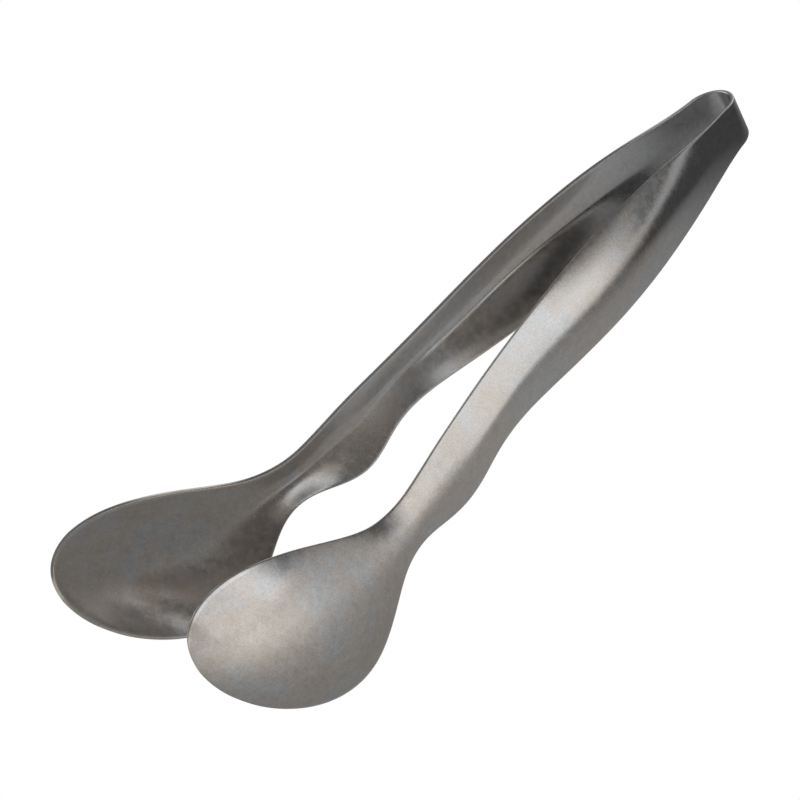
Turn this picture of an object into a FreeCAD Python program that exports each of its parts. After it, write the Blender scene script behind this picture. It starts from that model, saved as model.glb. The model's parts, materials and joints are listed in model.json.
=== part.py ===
import FreeCAD, Part
import math
import os

from FreeCAD import Vector, Rotation, Placement

# Spring loaded kitchen tongs: one long strip of stainless sheet, pressed into two spoon ended
# arms and folded back on itself at a small round bow, which is the spring.
# Shape frame used by the rib table: origin on the axis of the bow, Z along that axis, X from one
# arm to the other, and "reach" the distance from the axis towards the tips, along -Y.

# ---- driving dimensions, millimetres and degrees ----
sheet = 1.2            # thickness of the strip
bow_radius = 7.9       # outer face of the bow
bow_half_width = 6.3   # half the strip's width where it goes round the bow
flare_angle = 8.0      # how far each arm flares out where it leaves the bow
seam_gap = 0.6         # clearance between the bow and each arm
seam_reach = -bow_radius * math.sin(math.radians(flare_angle))
seam_x = bow_radius * math.cos(math.radians(flare_angle))

# Ribs of one arm, from the bow to the tip. Each rib is a straight chord between the two edges of
# the strip, seen from the side, and the sheet bulges outwards from it. The ribs pull the sheet
# like the poles of a spline, so it passes smoothly near them and starts and ends on them.
#   upper edge (reach, x, z), lower edge (reach, x, z), bulge, soft above, soft below, crease
# Soft is how round the bulge is on that side of the crease: about 0.15 is crisp, 1 and more a bowl.
# Crease is where the crease crosses the chord, from 0 at the lower edge to 1 at the upper edge.
ribs = [
    ((seam_reach, seam_x, 6.3), (seam_reach, seam_x, -6.3), 0.0, 1.0, 1.0, 0.5),
    ((8.5, 9.3, 7.4), (8.5, 9.3, -7.4), 0.2, 1.0, 1.0, 0.5),
    ((18.5, 10.4, 9.2), (18.5, 10.4, -9.1), 1.3, 1.2, 0.5, 0.5),
    ((28.5, 11.3, 11.0), (28.5, 11.3, -10.9), 2.8, 1.2, 0.35, 0.5),
    ((39, 12.1, 12.4), (39, 12.1, -12.5), 4.3, 1.1, 0.2, 0.5),
    ((49, 12.9, 13.2), (49, 12.9, -13.5), 5.6, 1.0, 0.15, 0.5),
    ((59, 13.6, 13.6), (59, 13.6, -14.0), 6.5, 0.85, 0.12, 0.5),
    ((69, 14.4, 13.7), (69, 14.4, -13.9), 6.8, 0.7, 0.12, 0.5),
    ((79, 15.2, 13.3), (79, 15.2, -13.2), 6.4, 0.55, 0.12, 0.5),
    ((89, 16.0, 12.7), (89, 16.2, -12.1), 5.4, 0.42, 0.12, 0.5),
    ((99, 16.8, 11.9), (99, 17.3, -10.7), 4.5, 0.3, 0.12, 0.5),
    ((109, 17.7, 11.0), (109, 18.6, -9.3), 4.0, 0.22, 0.12, 0.5),
    ((118, 18.7, 10.2), (118, 20.0, -8.8), 3.8, 0.15, 0.12, 0.5),
    ((126, 19.8, 9.4), (126, 21.0, -9.8), 3.8, 0.15, 0.12, 0.51),
    ((133, 20.9, 8.7), (133, 21.2, -12.5), 3.9, 0.15, 0.3, 0.53),
    ((140, 21.8, 7.9), (140, 21.2, -14.6), 4.1, 0.3, 0.6, 0.55),
    ((147, 22.7, 6.8), (147, 21.9, -14.0), 4.0, 0.4, 0.9, 0.55),
    ((154, 23.6, 5.8), (154, 23.2, -11.4), 3.7, 0.4, 0.9, 0.52),
    ((161, 24.7, 5.3), (161, 25.0, -9.2), 3.5, 0.4, 0.7, 0.48),
    ((171.5, 26.8, 7.6), (169, 26.9, -10.2), 3.6, 0.5, 0.5, 0.48),
    ((182, 28.5, 14.6), (177, 27.7, -16.2), 4.3, 0.8, 0.8, 0.49),
    ((192.5, 29.6, 22.3), (185, 28.0, -22.0), 6.0, 1.1, 1.1, 0.5),
    ((203, 30.5, 28.6), (193, 28.6, -24.6), 7.8, 1.4, 1.4, 0.5),
    ((213, 31.2, 32.7), (202, 29.4, -23.2), 8.4, 1.5, 1.5, 0.5),
    ((222, 31.7, 33.8), (210.8, 30.2, -18.4), 7.6, 1.5, 1.5, 0.5),
    ((228.8, 31.9, 31.0), (218.4, 30.9, -11.4), 5.4, 1.5, 1.5, 0.5),
    ((232.3, 31.9, 25.4), (225, 31.3, -3.0), 2.5, 1.5, 1.5, 0.5),
    ((232.6, 31.8, 18.5), (229.4, 31.5, 6.0), 0.0, 1.5, 1.5, 0.5),
]

# The arm is cut between zones, where its form changes. Each zone ends at this rib.
zone_ends = {"shank": 3, "handle": 12, "neck": 18, "bowl": len(ribs) - 1}

# Where points are laid across a rib: 0 is the crease, 1 the upper edge, -1 the lower edge.
half_row = (0.08, 0.2, 0.4, 0.6, 0.8, 1.0)
across = [-v for v in reversed(half_row)] + [0.0] + list(half_row)
degree = 3

# The tongs lie on their lower edges: the widest part of the handles and the bowls touch down.
handle_rest = ribs[6][1]
bowl_rest = ribs[22][1]
rest_pitch = math.degrees(math.atan2(bowl_rest[2] - handle_rest[2], bowl_rest[0] - handle_rest[0]))


def bulge_share(v, softness):
    """How much of the bulge is reached at v: 1 at the crease and 0 at the edges."""
    far = math.sqrt(1.0 + softness ** 2)
    return (far - math.sqrt(v * v + softness ** 2)) / (far - softness)


def rib_points(rib):
    """Points of the outer face along one rib of the right arm."""
    upper, lower, bulge, soft_above, soft_below, crease = rib
    top = Vector(upper[1], -upper[0], upper[2])
    foot = Vector(lower[1], -lower[0], lower[2])
    middle = foot + (top - foot) * crease
    points = []
    for v in across:
        edge = top if v > 0 else foot
        softness = soft_above if v > 0 else soft_below
        point = middle + (edge - middle) * abs(v)
        points.append(point + Vector(bulge * bulge_share(v, softness), 0, 0))
    return points


def inner_rows(rows):
    """The same points moved inwards by the thickness of the sheet, square to it."""
    moved = []
    for i, row in enumerate(rows):
        before = rows[max(i - 1, 0)]
        after = rows[min(i + 1, len(rows) - 1)]
        moved.append([])
        for j, point in enumerate(row):
            along = after[j] - before[j]
            up = row[min(j + 1, len(row) - 1)] - row[max(j - 1, 0)]
            outward = up.cross(along).normalize()
            if outward.x < 0:
                outward = outward * -1
            moved[i].append(point - outward * sheet)
    return moved


def even_knots(count):
    """Evenly spaced knots and their multiplicities for a spline that ends on its end poles."""
    spans = count - degree
    return [k / spans for k in range(spans + 1)], [degree + 1] + [1] * (spans - 1) + [degree + 1]


def skin(rows):
    """A smooth face pulled towards the rows of points."""
    u_knots, u_mults = even_knots(len(rows))
    v_knots, v_mults = even_knots(len(across))
    face = Part.BSplineSurface()
    face.buildFromPolesMultsKnots(rows, u_mults, v_mults, u_knots, v_knots, False, False, degree, degree)
    return face


def borders(face):
    u0, u1, v0, v1 = face.bounds()
    curves = (face.uIso(u0), face.uIso(u1), face.vIso(v0), face.vIso(v1))
    return [curve.toShape() for curve in curves]


def pressed_sheet(outer, inner):
    """A closed solid between two curved faces."""
    faces = [outer.toShape(), inner.toShape()]
    for outer_edge, inner_edge in zip(borders(outer), borders(inner)):
        faces.append(Part.makeRuledSurface(outer_edge, inner_edge))
    shell = Part.makeShell(faces)
    shell.sewShape()
    solid = Part.makeSolid(shell)
    return solid if solid.Volume > 0 else solid.reversed()


def right_arm():
    """The right arm's zones, all cut from the same two faces."""
    rows = [rib_points(rib) for rib in ribs]
    spans = len(ribs) - degree
    pieces = {}
    start = 0.0
    for zone, last_rib in zone_ends.items():
        end = 1.0 if last_rib == len(ribs) - 1 else (last_rib - 1) / spans
        faces = [skin(rows), skin(inner_rows(rows))]
        for face in faces:
            face.segment(start, end, 0, 1)
        pieces[zone] = pressed_sheet(*faces)
        start = end
    return pieces


def spring_bow():
    """The strip round the bow, stopping short of both arms."""
    start = flare_angle + math.degrees(seam_gap / bow_radius)
    ring = []
    for radius in (bow_radius, bow_radius - sheet):
        ring.append(Part.makeCircle(radius, Vector(0, 0, 0), Vector(0, 0, 1), start, 180 - start))
    band = Part.makeRuledSurface(ring[0], ring[1])
    band.translate(Vector(0, 0, -bow_half_width))
    return band.extrude(Vector(0, 0, 2 * bow_half_width))


def mirrored(solid):
    return solid.mirror(Vector(0, 0, 0), Vector(1, 0, 0))


def laid_down(solids):
    """Tip the tongs onto their lower edges, with the origin under the middle of their box."""
    tip = Placement(Vector(0, 0, 0), Rotation(Vector(1, 0, 0), rest_pitch))
    for solid in solids.values():
        solid.Placement = tip.multiply(solid.Placement)
    box = FreeCAD.BoundBox()
    for solid in solids.values():
        box.add(solid.optimalBoundingBox(False))
    shift = Vector(-box.Center.x, -box.Center.y, -box.ZMin)
    for solid in solids.values():
        solid.Placement = Placement(shift, Rotation()).multiply(solid.Placement)
    return box, shift, tip


parts = {"spring_bow": spring_bow()}
for zone, solid in right_arm().items():
    parts["right_" + zone] = solid
    parts["left_" + zone] = mirrored(solid)

box, shift, tip = laid_down(parts)

os.makedirs("parts", exist_ok=True)
for name, solid in sorted(parts.items()):
    solid.exportStep(os.path.join("parts", name + ".step"))
    print(name, "volume", round(solid.Volume, 1), "valid", solid.isValid(), "solids", len(solid.Solids))

axis = tip.Rotation.multVec(Vector(0, 0, 1))
print("hinge at", [round(c, 3) for c in shift], "axis", [round(c, 5) for c in axis])
print("box", round(box.XLength, 2), round(box.YLength, 2), round(box.ZLength, 2), "pitch", round(rest_pitch, 3))
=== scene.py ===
import json
import math

import bmesh
import bpy
from mathutils import Matrix, Vector


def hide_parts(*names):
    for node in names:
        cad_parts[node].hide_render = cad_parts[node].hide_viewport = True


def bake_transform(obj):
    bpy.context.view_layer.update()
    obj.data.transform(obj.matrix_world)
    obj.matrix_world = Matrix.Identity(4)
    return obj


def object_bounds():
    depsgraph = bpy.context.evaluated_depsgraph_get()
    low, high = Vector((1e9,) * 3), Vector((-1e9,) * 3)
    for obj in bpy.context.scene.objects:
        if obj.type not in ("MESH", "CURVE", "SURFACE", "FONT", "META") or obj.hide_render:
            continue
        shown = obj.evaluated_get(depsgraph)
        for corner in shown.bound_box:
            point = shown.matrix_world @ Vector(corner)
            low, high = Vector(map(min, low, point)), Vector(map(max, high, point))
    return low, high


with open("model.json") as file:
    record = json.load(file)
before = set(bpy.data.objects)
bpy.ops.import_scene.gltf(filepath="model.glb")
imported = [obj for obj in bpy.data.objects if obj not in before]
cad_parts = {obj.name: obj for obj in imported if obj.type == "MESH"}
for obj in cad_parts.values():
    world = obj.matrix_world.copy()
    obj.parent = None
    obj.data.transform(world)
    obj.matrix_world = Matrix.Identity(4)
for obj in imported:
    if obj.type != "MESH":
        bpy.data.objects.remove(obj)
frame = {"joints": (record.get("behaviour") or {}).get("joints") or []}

cadLow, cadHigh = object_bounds()
cadMiddle = (cadLow + cadHigh) / 2
hinge = frame["joints"][0]  # the bow's axis, which both arms turn about
hingePoint = Vector(hinge["pos_m"])
hingeAxis = Vector(hinge["axis"]).normalized()
millimetre = 0.001

# One long strip of sheet steel: round the bow, then rib by rib down an arm, in millimetres.
# It is laid out in its own frame: Z is the bow's axis, X points from arm to arm, and reach runs
# along -Y to the tips. A rib is (reach, x, z) at the upper edge, the same at the lower edge,
# then how far the sheet bulges outwards, how soft its crease is on the upper and on the lower
# side, and where the crease crosses the rib, from 0 at the lower edge to 1 at the upper edge.
stripSettings = {
    "thickness": 1.2,
    "bowRadius": 7.9,
    "bowHalfWidth": 6.3,
    "bowWidening": 0.6,      # how much wider the half width is where the bow ends
    "tipRounding": 0.55,     # how far the last rib swells past its chord
    "flareAngle": 8.0,
    "bowSteps": 8,
    "acrossHalf": (0.08, 0.2, 0.4, 0.6, 0.8, 1.0),
    "edgeRounding": 0.22,
    "smoothing": 3,
    "sharpAngle": 50,
    "weldDistance": 0.001,
    "cutDistance": 0.0001,
    "ribs": (
        ((8.5, 8.95, 7.5), (8.5, 8.95, -7.5), 0.2, 1.0, 1.0, 0.5),
        ((18.5, 10.4, 9.2), (18.5, 10.4, -9.1), 1.3, 1.2, 0.5, 0.5),
        ((28.5, 11.3, 11.0), (28.5, 11.3, -10.9), 2.8, 1.2, 0.35, 0.5),
        ((39, 12.1, 12.4), (39, 12.1, -12.5), 4.3, 1.1, 0.2, 0.5),
        ((49, 12.9, 13.2), (49, 12.9, -13.5), 5.6, 1.0, 0.15, 0.5),
        ((59, 13.6, 13.6), (59, 13.6, -14.0), 6.5, 0.85, 0.12, 0.5),
        ((69, 14.4, 13.7), (69, 14.4, -13.9), 6.8, 0.7, 0.12, 0.5),
        ((79, 15.2, 13.3), (79, 15.2, -13.2), 6.4, 0.55, 0.12, 0.5),
        ((89, 16.0, 12.7), (89, 16.2, -12.1), 5.4, 0.42, 0.12, 0.5),
        ((99, 16.8, 11.9), (99, 17.3, -10.7), 4.5, 0.3, 0.12, 0.5),
        ((109, 17.7, 11.0), (109, 18.6, -9.3), 4.0, 0.22, 0.12, 0.5),
        ((118, 18.7, 10.2), (118, 20.0, -8.8), 3.8, 0.15, 0.12, 0.5),
        ((126, 19.8, 9.4), (126, 21.0, -9.8), 3.8, 0.15, 0.12, 0.51),
        ((133, 20.9, 8.7), (133, 21.2, -12.5), 3.9, 0.15, 0.3, 0.53),
        ((140, 21.8, 7.9), (140, 20.8, -14.6), 4.1, 0.3, 0.3, 0.55),
        ((147, 22.7, 6.8), (147, 21.2, -14.0), 4.1, 0.4, 0.3, 0.55),
        ((154, 23.6, 5.8), (154, 22.9, -11.4), 3.7, 0.4, 0.35, 0.52),
        ((161, 24.7, 5.3), (161, 25.2, -9.2), 3.4, 0.4, 0.6, 0.48),
        ((171.5, 26.8, 7.6), (169, 26.9, -10.2), 3.6, 0.5, 0.5, 0.48),
        ((182, 28.5, 14.6), (177, 27.7, -16.2), 4.3, 0.8, 0.8, 0.49),
        ((192.5, 29.6, 22.3), (185, 28.0, -22.0), 6.0, 1.1, 1.1, 0.5),
        ((203, 30.5, 28.6), (193, 28.6, -24.6), 7.8, 1.4, 1.4, 0.5),
        ((213, 31.2, 32.7), (202, 29.4, -23.2), 8.4, 1.5, 1.5, 0.5),
        ((222, 31.7, 33.8), (210.8, 30.2, -18.4), 7.6, 1.5, 1.5, 0.5),
        ((228.8, 31.9, 31.0), (218.4, 30.9, -11.4), 5.4, 1.5, 1.5, 0.5),
        ((232.3, 31.9, 25.4), (225, 31.3, -3.0), 2.5, 1.5, 1.5, 0.5),
        ((232.6, 31.8, 18.5), (229.4, 31.5, 6.0), 0.0, 1.5, 1.5, 0.5),
    ),
}


def stripToRow():
    # millimetres in the strip's frame to metres where the hinge is
    sideways = Vector((1, 0, 0))
    backwards = hingeAxis.cross(sideways).normalized()
    turn = Matrix((sideways, backwards, hingeAxis)).transposed().to_4x4()
    return Matrix.Translation(hingePoint) @ turn @ Matrix.Scale(millimetre, 4)


def acrossRow(s):
    half = s["acrossHalf"]
    return [-v for v in reversed(half)] + [0.0] + list(half)


def ribPoint(rib, v):
    # v is 0 on the crease, 1 on the upper edge, -1 on the lower edge
    upper, lower, bulge, softAbove, softBelow, crease = rib
    softness = softAbove if v > 0 else softBelow
    top = Vector((upper[1], -upper[0], upper[2]))
    foot = Vector((lower[1], -lower[0], lower[2]))
    middle = foot.lerp(top, crease)
    point = middle.lerp(top if v > 0 else foot, abs(v))
    far = math.sqrt(1 + softness ** 2)
    point.x += bulge * (far - math.sqrt(v * v + softness ** 2)) / (far - softness)
    return point


def rowEdges(verts):
    inRow = set(verts)
    return [e for e in {e for v in verts for e in v.link_edges} if set(e.verts) <= inRow]


def lowestFirst(geometry):
    return sorted([g for g in geometry if isinstance(g, bmesh.types.BMVert)], key=lambda v: v.co.z)


def makeStripCage(s):
    bm = bmesh.new()
    along = bm.verts.layers.float.new("along")
    across = bm.verts.layers.float.new("across")
    row = acrossRow(s)

    # the strip's cross-section at the crown of the bow
    crown = [bm.verts.new((0, s["bowRadius"], v * s["bowHalfWidth"])) for v in row]
    for vert, v in zip(crown, row):
        vert[across] = v
    for a, b in zip(crown, crown[1:]):
        bm.edges.new((a, b))

    # round the bow to where the arm leaves it, and a little wider there
    quarter = math.radians(90 + s["flareAngle"])
    spun = bmesh.ops.spin(
        bm, geom=list(crown) + list(bm.edges), cent=(0, 0, 0), axis=(0, 0, -1),
        angle=quarter, steps=s["bowSteps"], use_merge=False)
    for vert in bm.verts:
        turned = math.atan2(vert.co.x, vert.co.y)
        vert[along] = s["bowRadius"] * turned
        vert.co.z *= 1 + s["bowWidening"] / s["bowHalfWidth"] * (turned / quarter) ** 2
    last = lowestFirst(spun["geom_last"])

    # down the arm, one rib after another
    travelled = s["bowRadius"] * quarter
    for rib in s["ribs"]:
        pulled = bmesh.ops.extrude_edge_only(bm, edges=rowEdges(last))["geom"]
        fresh = lowestFirst(pulled)
        before = last[len(row) // 2].co.copy()
        for vert, v in zip(fresh, row):
            vert.co = ribPoint(rib, v)
            if rib is s["ribs"][-1]:
                vert.co.y -= s["tipRounding"] * (1 - v * v)  # an arc across the tip
            vert[across] = v
        travelled += (fresh[len(row) // 2].co - before).length
        for vert in fresh:
            vert[along] = travelled
        last = fresh

    # the other arm is the mirror image, joined at the crown
    bmesh.ops.mirror(bm, geom=list(bm.verts) + list(bm.edges) + list(bm.faces), matrix=Matrix(),
                     merge_dist=s["weldDistance"], axis="X")
    bmesh.ops.remove_doubles(bm, verts=list(bm.verts), dist=s["weldDistance"])
    bmesh.ops.recalc_face_normals(bm, faces=list(bm.faces))
    outermost = max(bm.faces, key=lambda f: f.calc_center_median().x)
    if outermost.normal.x < 0:
        bmesh.ops.reverse_faces(bm, faces=list(bm.faces))
    return bm


def finishedMesh(name, bm, s):
    cage = bpy.data.meshes.new(name + "Cage")
    bm.to_mesh(cage)
    bm.free()
    helper = bpy.data.objects.new(name + "Helper", cage)
    bpy.context.scene.collection.objects.link(helper)
    wall = helper.modifiers.new("sheetThickness", "SOLIDIFY")
    wall.thickness = s["thickness"]
    wall.offset = -1
    wall.use_even_offset = True
    rim = helper.modifiers.new("roundedRim", "BEVEL")
    rim.width = s["edgeRounding"]
    rim.segments = 1
    rim.limit_method = "ANGLE"
    rim.angle_limit = math.radians(s["sharpAngle"])
    smooth = helper.modifiers.new("pressedCurves", "SUBSURF")
    smooth.levels = smooth.render_levels = s["smoothing"]
    depsgraph = bpy.context.evaluated_depsgraph_get()
    mesh = bpy.data.meshes.new_from_object(helper.evaluated_get(depsgraph), depsgraph=depsgraph)
    bpy.data.objects.remove(helper)
    bpy.data.meshes.remove(cage)
    return mesh


def halfOfStrip(name, mesh, side, s):
    # the strip is cut square at the crown of the bow, where each half is closed again
    bm = bmesh.new()
    bm.from_mesh(mesh)
    bmesh.ops.bisect_plane(
        bm, geom=list(bm.verts) + list(bm.edges) + list(bm.faces), dist=s["cutDistance"],
        plane_co=(0, 0, 0), plane_no=(side, 0, 0), clear_inner=True)
    rim = [e for e in bm.edges if e.is_boundary]
    bmesh.ops.holes_fill(bm, edges=rim, sides=0)
    bm.transform(stripToRow())
    half = bpy.data.meshes.new(name)
    bm.to_mesh(half)
    bm.free()
    half.polygons.foreach_set("use_smooth", [True] * len(half.polygons))
    half.set_sharp_from_angle(angle=math.radians(s["sharpAngle"]))
    piece = bpy.data.objects.new(name, half)
    bpy.context.scene.collection.objects.link(piece)
    return piece


stripMesh = finishedMesh("strip", makeStripCage(stripSettings), stripSettings)
rightHalf = halfOfStrip("right_half", stripMesh, 1, stripSettings)
leftHalf = halfOfStrip("left_half", stripMesh, -1, stripSettings)
bpy.data.meshes.remove(stripMesh)
print("strip halves", len(rightHalf.data.polygons), len(leftHalf.data.polygons))


def addNode(tree, kind, **values):
    node = tree.nodes.new(kind)
    for key, value in values.items():
        setattr(node, key, value)
    return node


def plug(tree, socket, value):
    # a socket takes either another node's output or a plain number or colour
    if isinstance(value, bpy.types.NodeSocket):
        tree.links.new(value, socket)
    else:
        socket.default_value = value


def math2(tree, operation, a, b=0.0, clamp=False):
    node = addNode(tree, "ShaderNodeMath", operation=operation, use_clamp=clamp)
    plug(tree, node.inputs[0], a)
    plug(tree, node.inputs[1], b)
    return node.outputs["Value"]


def blended(tree, value, fromLow, fromHigh, toLow=0.0, toHigh=1.0):
    ramp = addNode(tree, "ShaderNodeMapRange", interpolation_type="SMOOTHSTEP")
    for name, number in zip(("Value", "From Min", "From Max", "To Min", "To Max"),
                            (value, fromLow, fromHigh, toLow, toHigh)):
        plug(tree, ramp.inputs[name], number)
    return ramp.outputs["Result"]


def mixedColour(tree, share, a, b):
    mix = addNode(tree, "ShaderNodeMix", data_type="RGBA")
    plug(tree, mix.inputs[0], share)
    plug(tree, mix.inputs[6], a)
    plug(tree, mix.inputs[7], b)
    return mix.outputs[2]


def cloudy(tree, place, scale, detail=3.0, roughness=0.55):
    noise = addNode(tree, "ShaderNodeTexNoise")
    plug(tree, noise.inputs["Vector"], place)
    for name, number in (("Scale", scale), ("Detail", detail), ("Roughness", roughness)):
        noise.inputs[name].default_value = number
    return noise.outputs["Fac"]


def newGroup(name, inputs, outputs):
    group = bpy.data.node_groups.new(name, "ShaderNodeTree")
    for socketName, kind, start in inputs:
        socket = group.interface.new_socket(socketName, in_out="INPUT", socket_type=kind)
        if start is not None:
            socket.default_value = start
    for socketName, kind in outputs:
        group.interface.new_socket(socketName, in_out="OUTPUT", socket_type=kind)
    return group, addNode(group, "NodeGroupInput").outputs, addNode(group, "NodeGroupOutput").inputs


def useGroup(tree, group, **values):
    node = addNode(tree, "ShaderNodeGroup", node_tree=group)
    for name, value in values.items():
        plug(tree, node.inputs[name], value)
    return node.outputs


# Noise scales are in cycles a metre, and each pair after one is where the noise starts to show
# and where it shows in full.
patinaSettings = {
    "wideScale": 38, "wideRange": (0.38, 0.62), "wideShare": 0.55,
    "patchScale": 150, "patchRange": (0.36, 0.64), "patchShare": 0.45,
    "speckleScale": 900, "speckleRange": (0.5, 0.66),
}


def makePatina(s):
    # brown bloom that settles in clouds and speckles where food and hands have been
    group, given, out = newGroup(
        "patina",
        [("Place", "NodeSocketVector", None), ("Amount", "NodeSocketFloat", 0.5)],
        [("Bloom", "NodeSocketFloat"), ("Speckle", "NodeSocketFloat")])
    wide = blended(group, cloudy(group, given["Place"], s["wideScale"], 2), *s["wideRange"])
    patches = blended(group, cloudy(group, given["Place"], s["patchScale"], 4, 0.6), *s["patchRange"])
    both = math2(group, "MULTIPLY_ADD", wide, s["wideShare"])
    plug(group, both.node.inputs[2], math2(group, "MULTIPLY", patches, s["patchShare"]))
    plug(group, out["Bloom"], math2(group, "MULTIPLY", both, given["Amount"], True))
    spots = blended(group, cloudy(group, given["Place"], s["speckleScale"], 3, 0.6), *s["speckleRange"])
    plug(group, out["Speckle"], math2(group, "MULTIPLY", spots, given["Amount"], True))
    return group


grainSettings = {"mottleScale": 420, "grainScale": 2600}


def makeGrain(s):
    # the fine tooth of worn steel: a mottle about two millimetres wide and a grain under half of one
    group, given, out = newGroup(
        "steelGrain",
        [("Place", "NodeSocketVector", None)],
        [("Mottle", "NodeSocketFloat"), ("Grain", "NodeSocketFloat")])
    plug(group, out["Mottle"], cloudy(group, given["Place"], s["mottleScale"], 5, 0.62))
    plug(group, out["Grain"], cloudy(group, given["Place"], s["grainScale"], 2, 0.5))
    return group


scratchSettings = {
    "stretch": (1.0, 0.035, 1.0),   # drawn out along the arms
    "lineScale": 1500, "lineRange": (0.68, 0.76),
    "areaScale": 110, "areaRange": (0.5, 0.62),
}


def makeScratches(s):
    # hairlines: noise drawn out long, kept only where it peaks and only in some areas
    group, given, out = newGroup(
        "hairScratches",
        [("Place", "NodeSocketVector", None), ("Turn", "NodeSocketFloat", 0.0)],
        [("Lines", "NodeSocketFloat")])
    turned = addNode(group, "ShaderNodeVectorRotate", rotation_type="X_AXIS")
    plug(group, turned.inputs["Vector"], given["Place"])
    plug(group, turned.inputs["Angle"], given["Turn"])
    drawn = addNode(group, "ShaderNodeVectorMath", operation="MULTIPLY")
    plug(group, drawn.inputs[0], turned.outputs["Vector"])
    drawn.inputs[1].default_value = s["stretch"]
    lines = blended(group, cloudy(group, drawn.outputs["Vector"], s["lineScale"], 1, 0.4), *s["lineRange"])
    kept = blended(group, cloudy(group, given["Place"], s["areaScale"], 1), *s["areaRange"])
    plug(group, out["Lines"], math2(group, "MULTIPLY", lines, kept))
    return group


steelSettings = {
    "coolSteel": (0.55, 0.556, 0.562, 1),
    "warmSteel": (0.595, 0.568, 0.542, 1),
    "brownBloom": (0.48, 0.395, 0.315, 1),
    "bloomShare": 0.4,
    "speckleShare": 0.35,
    "bowBloom": 0.15, "handleBloom": 0.5, "bowlBloom": 0.95,   # how much bloom each stretch carries
    "bowEnds": 30, "handleFull": 75, "bowlStarts": 150, "bowlFull": 185,   # millimetres along
    "warmRange": (0.0, 0.5),                                   # from cool to warm as bloom sets in
    "mottleContrast": 0.2, "grainContrast": 0.26,
    "patchyRange": (0.35, 0.65), "roughLow": 0.15, "roughHigh": 0.2, "bloomRoughness": 0.1,
    "scratchTurns": (0.35, -0.9),
    "scratchShine": 0.12,
    "bumpStrength": 0.1, "bumpDepth": 0.00004, "grainHeight": 0.4, "scratchDepth": 0.3,
    # a painted highlight along the rim, partly polished edge wear: where it starts near the edge and how
    # much it lightens the colour
    "rimWidth": 0.03, "rimPaintedHighlight": 0.25,
}


def makeWornSteel(s):
    steel = bpy.data.materials.new("wornSteel")
    steel.use_nodes = True
    tree = steel.node_tree
    shader = tree.nodes["Principled BSDF"]
    place = addNode(tree, "ShaderNodeTexCoord").outputs["Object"]
    along = addNode(tree, "ShaderNodeAttribute", attribute_name="along").outputs["Fac"]
    across = addNode(tree, "ShaderNodeAttribute", attribute_name="across").outputs["Fac"]

    # bloom grows from the bow to the bowls
    handleShare = blended(tree, along, s["bowEnds"], s["handleFull"], s["bowBloom"], s["handleBloom"])
    amount = blended(tree, along, s["bowlStarts"], s["bowlFull"], handleShare, s["bowlBloom"])
    patina = useGroup(tree, makePatina(patinaSettings), Place=place, Amount=amount)
    grain = useGroup(tree, makeGrain(grainSettings), Place=place)
    scratchGroup = makeScratches(scratchSettings)
    first, second = [useGroup(tree, scratchGroup, Place=place, Turn=turn)["Lines"]
                     for turn in s["scratchTurns"]]
    scratches = math2(tree, "MAXIMUM", first, second)

    # colour: cool where the steel is clean, warmer and then brown where it has bloomed
    warmth = blended(tree, patina["Bloom"], *s["warmRange"])
    colour = mixedColour(tree, warmth, s["coolSteel"], s["warmSteel"])
    for mark, share in (("Bloom", s["bloomShare"]), ("Speckle", s["speckleShare"])):
        colour = mixedColour(tree, math2(tree, "MULTIPLY", patina[mark], share), colour, s["brownBloom"])
    mottle = math2(tree, "MULTIPLY", math2(tree, "SUBTRACT", grain["Mottle"], 0.5), s["mottleContrast"] * 2)
    speck = math2(tree, "MULTIPLY", math2(tree, "SUBTRACT", grain["Grain"], 0.5), s["grainContrast"] * 2)
    # a painted highlight along the rim, partly polished edge wear, lightens the colour at the very edges;
    # the hairline scratches lighten it too
    rim = blended(tree, math2(tree, "ABSOLUTE", across), 1 - s["rimWidth"], 1.0, 0.0, s["rimPaintedHighlight"])
    scratchesAndRimHighlight = math2(tree, "ADD", math2(tree, "MULTIPLY", scratches, s["scratchShine"]), rim)
    level = math2(tree, "ADD", math2(tree, "ADD", mottle, speck), math2(tree, "ADD", scratchesAndRimHighlight, 1.0))
    scaled = addNode(tree, "ShaderNodeVectorMath", operation="SCALE")
    plug(tree, scaled.inputs[0], colour)
    plug(tree, scaled.inputs["Scale"], level)
    plug(tree, shader.inputs["Base Color"], scaled.outputs["Vector"])

    # polish: patchy, duller under the bloom
    patchy = blended(tree, grain["Mottle"], *s["patchyRange"], s["roughLow"], s["roughHigh"])
    dulled = math2(tree, "ADD", patchy, math2(tree, "MULTIPLY", patina["Bloom"], s["bloomRoughness"]))
    plug(tree, shader.inputs["Roughness"], dulled)

    # relief: the mottle and the grain stand up, the hairlines are cut in
    tooth = math2(tree, "ADD", grain["Mottle"], math2(tree, "MULTIPLY", grain["Grain"], s["grainHeight"]))
    height = math2(tree, "SUBTRACT", tooth, math2(tree, "MULTIPLY", scratches, s["scratchDepth"]))
    bump = addNode(tree, "ShaderNodeBump")
    plug(tree, bump.inputs["Strength"], s["bumpStrength"])
    plug(tree, bump.inputs["Distance"], s["bumpDepth"])
    plug(tree, bump.inputs["Height"], height)
    plug(tree, shader.inputs["Normal"], bump.outputs["Normal"])
    shader.inputs["Metallic"].default_value = 1.0
    return steel


wornSteel = makeWornSteel(steelSettings)
for piece in (rightHalf, leftHalf):
    piece.data.materials.append(wornSteel)
print("worn steel")

for piece, side, name in ((rightHalf, 1, "right"), (leftHalf, -1, "left")):
    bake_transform(piece)
    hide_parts("spring_bow", name + "_shank", name + "_handle", name + "_neck", name + "_bowl")

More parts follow.
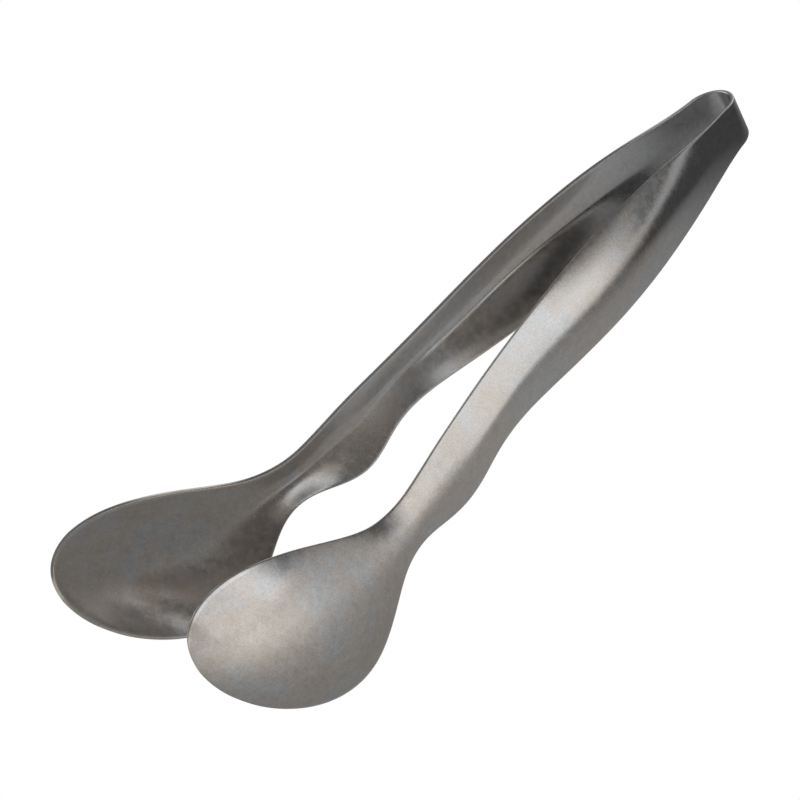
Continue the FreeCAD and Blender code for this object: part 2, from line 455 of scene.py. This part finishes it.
# Brightness is the light that comes from a surface, where 1 shows as white. Directions are in
# degrees: azimuth from the tips, with the right arm at 90, then elevation.
studioSettings = {
    "tableSize": 6.0,
    "whiteShown": 1.0,       # what the camera sees of the table and the backdrop
    "tableBase": 0.49,       # how bright the table is where the steel mirrors it
    "tableDarkest": 0.07,
    # painted shade round the tongs and a painted pool of light, seen only in the steel
    "tablePaintedShadeAndLight": (
        # x, y, radius in metres, how much brighter in the middle
        (0.01, -0.09, 0.15, -0.29),   # the tongs' own shade
        (0.04, 0.135, 0.07, -0.42),   # the bow's own shade
        (0.075, 0.085, 0.14, -0.36),  # painted shade beside the arms
        (0.26, -0.06, 0.29, 0.65),    # a painted pool of light under the key card
    ),
    "roomLow": 0.11, "roomHigh": 0.18, "roomLean": (-0.3, -0.8, 0.5), "roomRange": (-0.7, 0.8),
    "cards": (
        # name, azimuth, elevation, distance, width, height, soft edge, brightness
        ("keyCard", 102, 9, 0.55, 0.85, 0.40, 0.22, 0.85),
        ("keyCore", 121, 14, 0.43, 0.28, 0.30, 0.5, 0.28),
        ("farCard", -74, 24, 0.75, 0.42, 0.46, 0.4, 1.5),
        ("backCard", -116, 42, 0.80, 0.50, 0.45, 0.4, 1.6),
        ("tipCard", 45, 2, 0.62, 0.75, 0.45, 0.4, 0.55),
        ("bowCard", 198, 22, 0.85, 0.90, 0.50, 0.4, 0.8),
    ),
}


def directionFrom(azimuth, elevation):
    a, e = math.radians(azimuth), math.radians(elevation)
    return Vector((math.sin(a) * math.cos(e), -math.cos(a) * math.cos(e), math.sin(e)))


def stagePlane(name, width, height, material):
    bm = bmesh.new()
    bmesh.ops.create_grid(bm, x_segments=1, y_segments=1, size=0.5)
    bmesh.ops.scale(bm, vec=(width, height, 1), verts=bm.verts)
    mesh = bpy.data.meshes.new(name)
    bm.to_mesh(mesh)
    bm.free()
    mesh.materials.append(material)
    plane = bpy.data.objects.new(name, mesh)
    bpy.context.scene.collection.objects.link(plane)
    return plane


def emissionMaterial(name):
    material = bpy.data.materials.new(name)
    material.use_nodes = True
    tree = material.node_tree
    tree.nodes.clear()
    return material, tree, addNode(tree, "ShaderNodeOutputMaterial").inputs["Surface"]


def paintTable(s):
    # a plain pale table, whose painted soft shade round the tongs and painted pool of light under the key
    # card show only in the steel
    material, tree, surface = emissionMaterial("paleTablePaintedShadeAndLight")
    place = addNode(tree, "ShaderNodeTexCoord").outputs["Object"]
    total = s["tableBase"]
    for x, y, radius, brighter in s["tablePaintedShadeAndLight"]:
        apart = addNode(tree, "ShaderNodeVectorMath", operation="DISTANCE")
        plug(tree, apart.inputs[0], place)
        plug(tree, apart.inputs[1], (x, y, 0))
        paintedPatch = blended(tree, apart.outputs["Value"], 0.0, radius, brighter, 0.0)
        total = math2(tree, "ADD", paintedPatch, total)
    mirrored = addNode(tree, "ShaderNodeEmission")
    plug(tree, mirrored.inputs["Strength"], math2(tree, "MAXIMUM", total, s["tableDarkest"]))
    shown = addNode(tree, "ShaderNodeEmission")
    plug(tree, shown.inputs["Strength"], s["whiteShown"])
    choice = addNode(tree, "ShaderNodeMixShader")
    plug(tree, choice.inputs[0], addNode(tree, "ShaderNodeLightPath").outputs["Is Camera Ray"])
    plug(tree, choice.inputs[1], mirrored.outputs[0])
    plug(tree, choice.inputs[2], shown.outputs[0])
    plug(tree, surface, choice.outputs[0])
    return material


def paintCard(name, soft, brightness):
    # a lit card that fades out towards its edges
    material, tree, surface = emissionMaterial(name)
    place = addNode(tree, "ShaderNodeSeparateXYZ")
    plug(tree, place.inputs[0], addNode(tree, "ShaderNodeTexCoord").outputs["Generated"])
    level = brightness
    for axis in "XY":
        fromEdge = math2(tree, "PINGPONG", place.outputs[axis], 0.5)
        level = math2(tree, "MULTIPLY", blended(tree, fromEdge, 0.0, soft), level)
    glow = addNode(tree, "ShaderNodeEmission")
    plug(tree, glow.inputs["Strength"], level)
    clear = addNode(tree, "ShaderNodeBsdfTransparent")
    both = addNode(tree, "ShaderNodeAddShader")
    plug(tree, both.inputs[0], glow.outputs[0])
    plug(tree, both.inputs[1], clear.outputs[0])
    plug(tree, surface, both.outputs[0])
    return material


def paintRoom(s):
    # a plain room that brightens gently to one side
    world = bpy.data.worlds.new("studio")
    world.use_nodes = True
    tree = world.node_tree
    background = tree.nodes["Background"]
    lean = addNode(tree, "ShaderNodeVectorMath", operation="DOT_PRODUCT")
    plug(tree, lean.inputs[0], addNode(tree, "ShaderNodeTexCoord").outputs["Generated"])
    plug(tree, lean.inputs[1], s["roomLean"])
    dim = blended(tree, lean.outputs["Value"], *s["roomRange"], s["roomLow"], s["roomHigh"])
    choice = addNode(tree, "ShaderNodeMix", data_type="FLOAT")
    plug(tree, choice.inputs["Factor"], addNode(tree, "ShaderNodeLightPath").outputs["Is Camera Ray"])
    plug(tree, choice.inputs["A"], dim)
    plug(tree, choice.inputs["B"], s["whiteShown"])
    plug(tree, background.inputs["Strength"], choice.outputs["Result"])
    background.inputs["Color"].default_value = (1, 1, 1, 1)
    return world


def makeStudio(s):
    stagePlane("table", s["tableSize"], s["tableSize"], paintTable(s))
    bpy.context.scene.world = paintRoom(s)
    for name, azimuth, elevation, distance, width, height, soft, brightness in s["cards"]:
        card = stagePlane(name, width, height, paintCard(name, soft, brightness))
        away = directionFrom(azimuth, elevation)
        card.location = cadMiddle + away * distance
        card.rotation_euler = away.to_track_quat("Z", "Y").to_euler()
        card.visible_camera = False
    bpy.context.scene.view_settings.view_transform = "Standard"


makeStudio(studioSettings)
print("studio")

cameraSettings = {
    "azimuth": 67.10,
    "elevation": 35.53,
    "roll": -35.13,
    "aimOffset": (0, -0.0208, 0.0003),
    "distance": 0.6827,
    "lens": 113.96,
    "sensor": 36,
    "clip": (0.01, 20),
}


def makeCamera(s):
    back = directionFrom(s["azimuth"], s["elevation"])
    data = bpy.data.cameras.new("camera")
    data.lens = s["lens"]
    data.sensor_width = s["sensor"]
    data.clip_start, data.clip_end = s["clip"]
    camera = bpy.data.objects.new("camera", data)
    camera.location = cadMiddle + Vector(s["aimOffset"]) + back * s["distance"]
    level = (-back).to_track_quat("-Z", "Y").to_matrix()
    camera.rotation_euler = (level @ Matrix.Rotation(math.radians(s["roll"]), 3, "Z")).to_euler()
    bpy.context.scene.collection.objects.link(camera)
    bpy.context.scene.camera = camera


makeCamera(cameraSettings)
print("camera")
